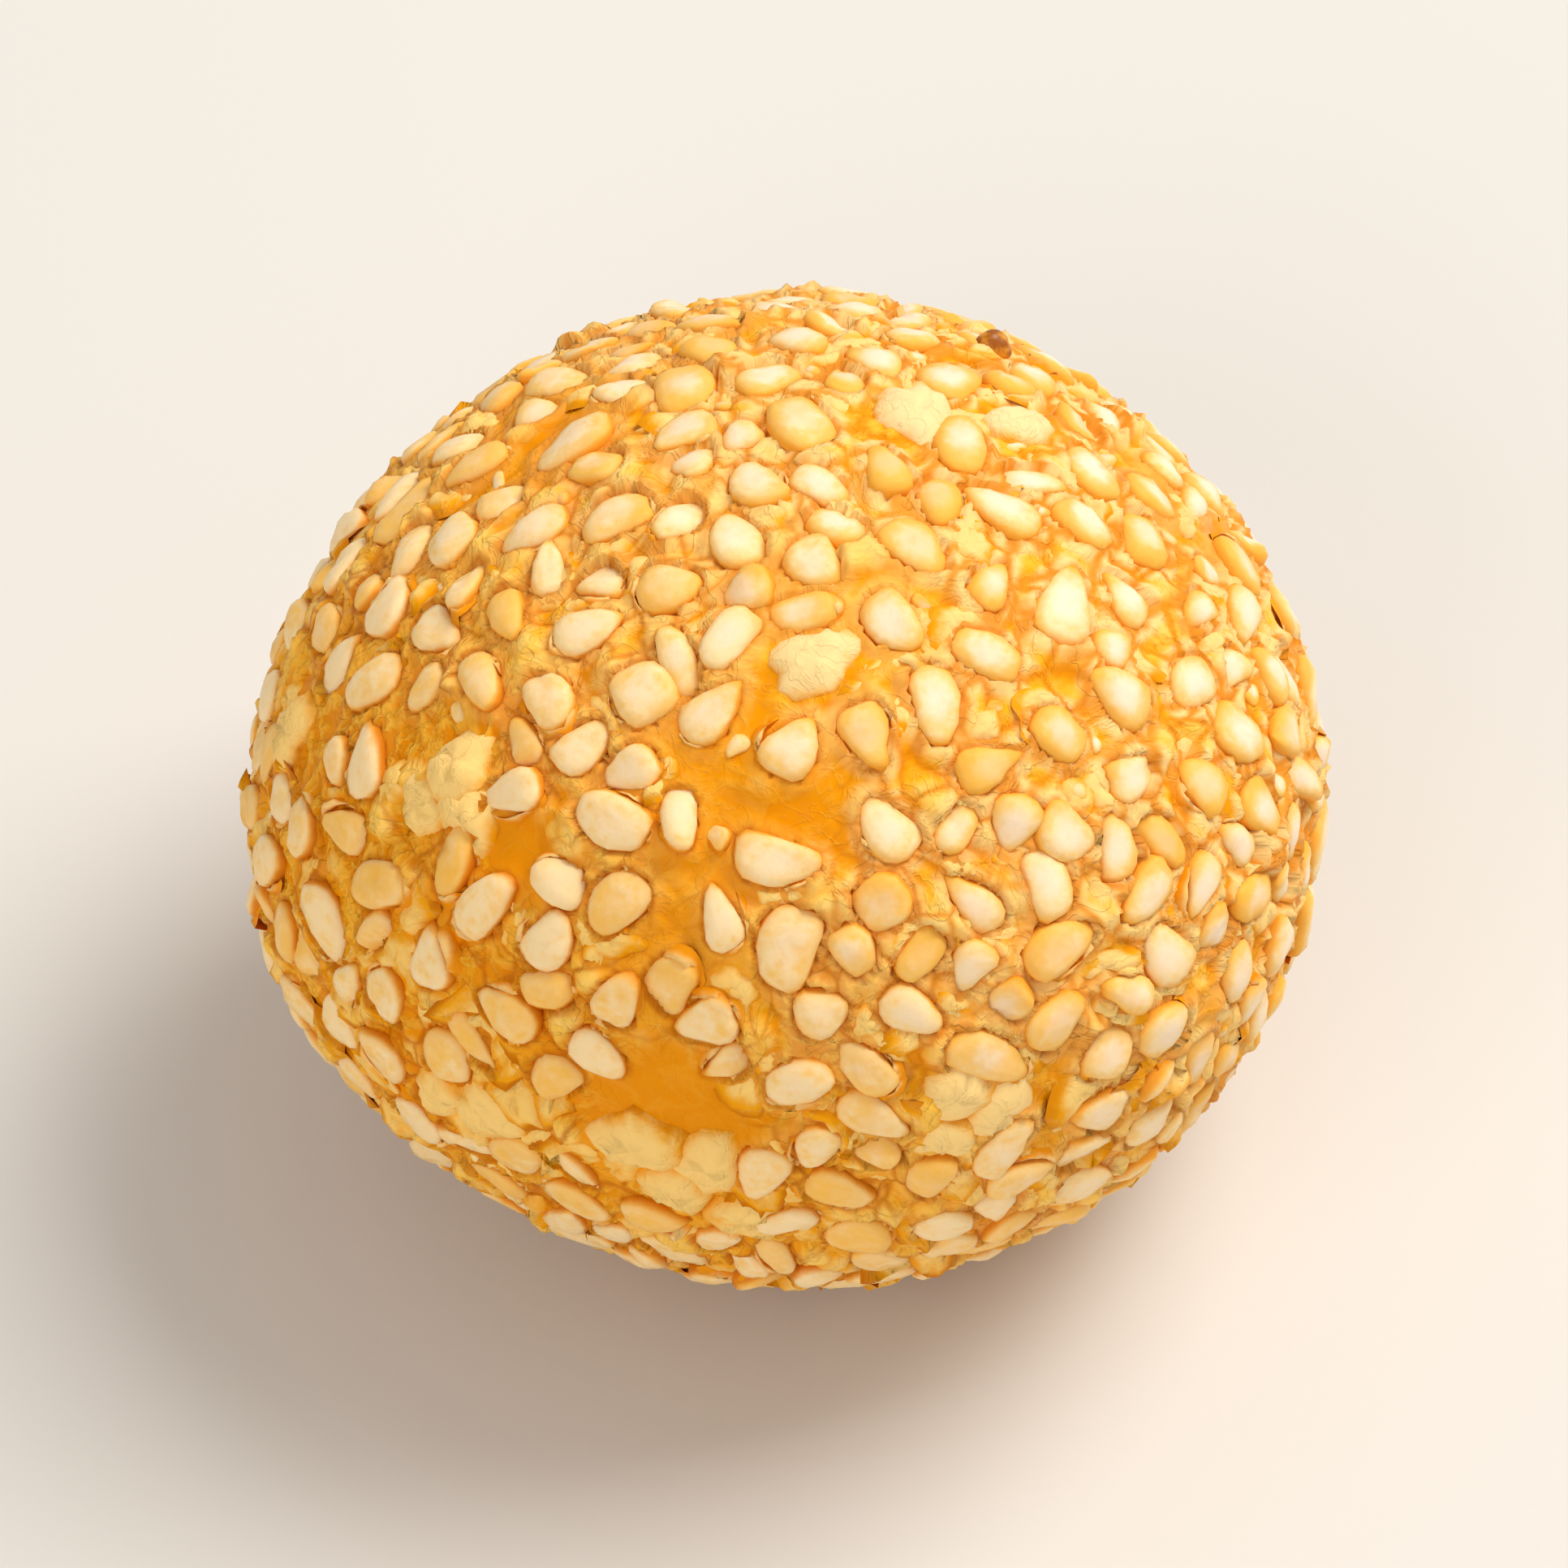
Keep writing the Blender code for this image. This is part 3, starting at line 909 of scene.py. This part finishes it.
def crust_pattern(rest, bent, patches, cell_scale, fold_scale):
    """What covers the crust at these places, the same in its tree and in its material: how far the
    nearest crack is, where the skin is cracked, and its thin folds."""
    cells = bent.node("ShaderNodeTexVoronoi", {"feature": "DISTANCE_TO_EDGE"},
                      {"Vector": bent, "Scale": cell_scale}, "Distance")
    folds = rest.noise(fold_scale, 3.0, Roughness=0.6, Distortion=0.6).lines(12.0)
    cracked = patches.over(0.40, 0.54)
    folded = 1 - patches.over(0.46, 0.62) * 0.7
    return cells, cracked, folds * folded


crust_tree, given = new_tree("fry crust", {
    "Seeds": "NodeSocketObject",
    "Fine Seeds": "NodeSocketObject",
    "Sunken Seeds": "NodeSocketObject",
    "Film": "NodeSocketFloat",
    "Climb": "NodeSocketFloat",
    "Climb Reach": "NodeSocketFloat",
    "Cell": "NodeSocketFloat",
    "Cell Scale": "NodeSocketFloat",
    "Fold": "NodeSocketFloat",
    "Fold Scale": "NodeSocketFloat",
    "Crumb": "NodeSocketFloat",
    "Crumb Scale": "NodeSocketFloat",
    "Swell": "NodeSocketFloat",
    "Material": "NodeSocketMaterial",
})
start = given["Geometry"]
where = start.node("GeometryNodeInputPosition")
normal = start.node("GeometryNodeInputNormal")

seeds = seed_meshes(given)
distance = start.node("GeometryNodeProximity", {"target_element": "FACES"}, {0: seeds}, "Distance")
climb = 1 - distance.over(0.0, given["Climb Reach"])
patchy = where.noise(330.0, 1.0)
filmed = film_and_light_side(where)
climb_height = climb * climb * (0.5 + patchy.over(0.3, 0.7) * 0.5) * (0.8 + filmed * 0.7) * given["Climb"]

sunken = start.node("GeometryNodeObjectInfo", {}, {"Object": given["Sunken Seeds"]}, "Geometry")
hit, seed_height = top_over(sunken, where, normal, 0.0)
lift = hit * (seed_height + given["Film"]) * distance.over(-0.0001, 0.00030)
lift = start.node("GeometryNodeBlurAttribute", {}, {"Value": lift, "Iterations": 1})
hidden = start.node("GeometryNodeBlurAttribute", {}, {"Value": lift * (1 / COVERED_LIFT), "Iterations": 1})

calm = 1 - start.node("GeometryNodeInputNamedAttribute", {"data_type": "FLOAT"}, {"Name": "bare"}) * 0.9
bend = where.noise(450.0, 2.0, output="Color")
bent = start.node("ShaderNodeVectorMath", {"operation": "MULTIPLY_ADD"},
                  {0: bend, 1: (CRACK_BEND,) * 3, 2: where})
patches = where.noise(190.0, 1.0)
cells, cracked, folds = crust_pattern(where, bent, patches, given["Cell Scale"], given["Fold Scale"])
crumbs = where.noise(given["Crumb Scale"], 2.0).over(0.32, 0.70)
height = (lift + climb_height + (patchy - 0.5) * given["Swell"]
          + (cells.over(0.0, 0.30) * cracked * given["Cell"]
             + folds * given["Fold"] + (crumbs - 0.4) * given["Crumb"]) * calm)
under, roof = top_over(seeds, where, normal, 0.0)
height = start.math("MINIMUM", height, roof - CRUST_BELOW_SEED + (1 - under) * CAST_HEIGHT)
eased = start.node("GeometryNodeBlurAttribute", {}, {"Value": height, "Iterations": 2})
height = start.math("MINIMUM", height, eased + distance.over(0.0, EASED_REACH) * CAST_HEIGHT + EASED_STEP)

crusted = start
for key, data_type, value in (
        # The crease where the crust meets the seeds, which carries painted shade.
        ("crevice", "FLOAT", 1 - distance.over(0.00002, 0.00022)),
        ("near", "FLOAT", 1 - distance.over(0.0, 0.0010)),
        ("covered", "FLOAT", hidden),
        ("patches", "FLOAT", patches),
        ("crumbs", "FLOAT", crumbs),
        ("rest", "FLOAT_VECTOR", where),
        ("bent", "FLOAT_VECTOR", bent)):
    crusted = start.node("GeometryNodeStoreNamedAttribute", {"data_type": data_type, "domain": "POINT"},
                         {"Geometry": crusted, "Name": key, "Value": value})
raised = start.node("GeometryNodeSetPosition", {}, {"Geometry": crusted, "Offset": normal.scaled(height)})
end_tree(stood_on_floor(raised, where), given["Material"])

crust_material, crust_shader, crust = new_material("fried crust", {
    "IOR": 1.25,
    "Specular IOR Level": 0.2,
})
rest = crust.carried("rest", "Vector")
cells, cracked, folds = crust_pattern(
    rest, crust.carried("bent", "Vector"), crust.carried("patches"), CELL_SCALE, FOLD_SCALE)
crumbs = crust.carried("crumbs")
crevice = crust.carried("crevice")
covered = crust.carried("covered")
bare = crust.carried("bare")
cloud = rest.noise(160.0, 3.0)
speckle = rest.noise(1500.0, 4.0)
veins = fine_veins(rest)
# Toward the key light the crust is painted paler and its dark lines fade, as painted light; away from it
# they are stronger, as painted shade.
film_and_light = film_and_light_side(rest)
amber = ((cloud + film_and_light * 0.20 - 0.10).over(0.35, 0.68) * (1 - bare * 0.7)).mix(
    colour("#eb9000"), colour("#f8ac0a"))
scurf = (crumbs * 0.6 + cells.over(0.05, 0.35) * cracked * 0.5 + (speckle - 0.5) * 0.9
         + film_and_light * 0.44 - 0.22 - bare * 0.3)
mottled = (scurf.over(0.50, 1.15) * 0.75).mix(amber, colour("#fdbc2c"))
filmed = ((covered + (speckle - 0.5) * 0.5).over(0.40, 1.20)).mix(mottled, colour("#fecd66"))
veined = (veins * (0.10 + film_and_light * 0.35) * (1 - bare * 0.8)).mix(filmed, colour("#ffcf58"))
ridged = (folds * (0.5 + speckle * 0.5) * (1 - bare * 0.8)).mix(veined, colour("#fec242"))
halo = (crust.carried("near") + (speckle - 0.5) * 0.9 + (cloud - 0.5) * 0.8).over(0.08, 0.70)
haloed = (halo * film_and_light * (1 - bare) * 0.92).mix(ridged, colour("#fed990"))
seams = (1 - cells.over(0.02, 0.24)) * film_and_light * (1 - bare)
seamed = (seams * 0.90).mix(haloed, colour("#f09204"))
# The cracks are painted dark, partly the crust's browning and partly painted shade in their grooves, fading
# toward the key light.
cracks = (1 - cells.over(0.0, 0.12)) * cracked * (1 - bare) * (1 - film_and_light * 0.7)
shaded = (cracks * 0.75).mix(seamed, colour("#c86c00"))
# Painted shade: a dark orange-brown line in the crease where the crust meets each seed, weaker toward the
# key light.
crust_colour = (crevice * cloud.over(0.20, 0.55) * (0.85 - film_and_light * 0.5)).mix(shaded, colour("#c06400"))
crust_relief = rest.noise(2400.0, 4.0) * 0.45 + folds * 0.8 + veins * 0.6
crust_bump = crust.node("ShaderNodeBump", {}, {
    "Strength": 0.65,
    "Distance": 0.00014,
    "Height": crust_relief * (1 - bare * 0.7) * (1 - film_and_light * 0.35),
})
feed(crust_shader, {
    "Base Color": crust_colour,
    "Roughness": 0.32 + (speckle - 0.5) * 0.3 + covered * 0.06 - bare * 0.08,
    "Normal": crust_bump,
})


def bareness(points):
    """1 in the middle of a bare patch, fading to 0 at its edge."""
    most = np.zeros(len(points))
    for turn, rise, radius, kept in BARE_PATCHES:
        inward = 1.25 - np.linalg.norm(points - skin(toward(turn, rise)), axis=-1) / radius
        most = np.maximum(most, np.clip(inward * 2, 0, 1) * (1 - kept))
    return most


def corners_of(mesh):
    """The mesh's corners, one to a row."""
    corners = np.zeros(len(mesh.vertices) * 3)
    mesh.vertices.foreach_get("co", corners)
    return corners.reshape(-1, 3)


bm = bmesh.new()
bmesh.ops.create_cube(bm, size=2)
bmesh.ops.subdivide_edges(bm, edges=bm.edges[:], cuts=CRUST_CELLS - 1, use_grid_fill=True)
ball_crust = form_object("crust", bm)
bpy.context.scene.collection.objects.link(ball_crust)
corners = skin(np.tan(corners_of(ball_crust.data) * math.pi / 4))
ball_crust.data.vertices.foreach_set("co", corners.ravel())
ball_crust.data.attributes.new("bare", "FLOAT", "POINT").data.foreach_set("value", bareness(corners))
ball_crust.data.update()
grow(ball_crust, crust_tree, {
    "Seeds": plump_seeds,
    "Fine Seeds": fine_seeds,
    "Sunken Seeds": sunken_seeds,
    "Film": 0.00006,
    "Climb": 0.00034,
    "Climb Reach": 0.0010,
    "Cell": 0.00018,
    "Cell Scale": CELL_SCALE,
    "Fold": 0.00014,
    "Fold Scale": FOLD_SCALE,
    "Crumb": 0.00016,
    "Crumb Scale": 1100.0,
    "Swell": 0.00030,
    "Material": crust_material,
})
bpy.data.objects.remove(sunken_seeds)
for forms in (seed_forms, collar_forms, blister_forms, bead_forms):
    for obj in list(forms.objects):
        bpy.data.objects.remove(obj)
    bpy.data.collections.remove(forms)


# The whole ball is centred on the middle of its box, as the model is.
dough_pieces = (ball_crust, blisters, collars, toasted_bead)
ball_pieces = dough_pieces + (plump_seeds, fine_seeds, seed_bits)
low = np.min([corners_of(piece.data).min(axis=0) for piece in ball_pieces], axis=0)
high = np.max([corners_of(piece.data).max(axis=0) for piece in ball_pieces], axis=0)
for piece in ball_pieces:
    centred = corners_of(piece.data) - (low + high) / 2 * (1, 1, 0)
    piece.data.vertices.foreach_set("co", centred.ravel())
    piece.data.update()
for piece in ball_pieces:
    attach(piece, "root")
    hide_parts("sesame_ball")


# The studio: a pale floor, a wide soft light from above and behind on the right, a weak one from
# the front left, a pale room, and a long lens that looks down at the ball.
bm = bmesh.new()
bmesh.ops.create_grid(bm, x_segments=1, y_segments=1, size=1.5)
floor = form_object("floor", bm)
bpy.context.scene.collection.objects.link(floor)
floor_material, _, _ = new_material("pale floor", {
    "Base Color": (0.72, 0.70, 0.68, 1.0),
    "Roughness": 0.6,
})
floor.data.materials.append(floor_material)

BALL_MIDDLE = np.array([0.0, 0.0, 0.0178])


def aim(obj, place):
    """Puts a light or the camera at this place, looking at the ball's middle."""
    back = unit(np.asarray(place) - BALL_MIDDLE)
    side = unit(np.cross((0.0, 0.0, 1.0), back))
    over = np.cross(back, side)
    rows = [[side[i], over[i], back[i], place[i]] for i in range(3)]
    obj.matrix_world = [list(column) for column in zip(*(rows + [[0.0, 0.0, 0.0, 1.0]]))]
    bpy.context.scene.collection.objects.link(obj)


def soft_light(name, place, size, watts, tone):
    """A square soft light."""
    light = bpy.data.lights.new(name, "AREA")
    light.shape = "SQUARE"
    light.size = size
    light.energy = watts
    light.color = tone
    aim(bpy.data.objects.new(name, light), place)


soft_light("key_light", (0.42, 0.20, 0.72), size=0.50, watts=6.6, tone=(1.0, 0.96, 0.88))
soft_light("fill_light", (-0.40, -0.70, 0.50), size=0.60, watts=2.7, tone=(1.0, 0.97, 0.92))
world = bpy.data.worlds.new("pale room")
world.use_nodes = True
room = world.node_tree.nodes["Background"]
room.inputs["Color"].default_value = (1.0, 0.97, 0.92, 1.0)
room.inputs["Strength"].default_value = 0.46
bpy.context.scene.world = world
bpy.context.scene.view_settings.view_transform = "Standard"

CAMERA_DISTANCE = 0.60
CAMERA_ELEVATION = math.radians(48)
FRAME_WIDTH = 0.064
lens = bpy.data.cameras.new("camera")
lens.sensor_width = 36.0
lens.lens = lens.sensor_width * CAMERA_DISTANCE / FRAME_WIDTH
camera = bpy.data.objects.new("camera", lens)
aim(camera, BALL_MIDDLE + CAMERA_DISTANCE * np.array(
    [0.0, -math.cos(CAMERA_ELEVATION), math.sin(CAMERA_ELEVATION)]))
bpy.context.scene.camera = camera
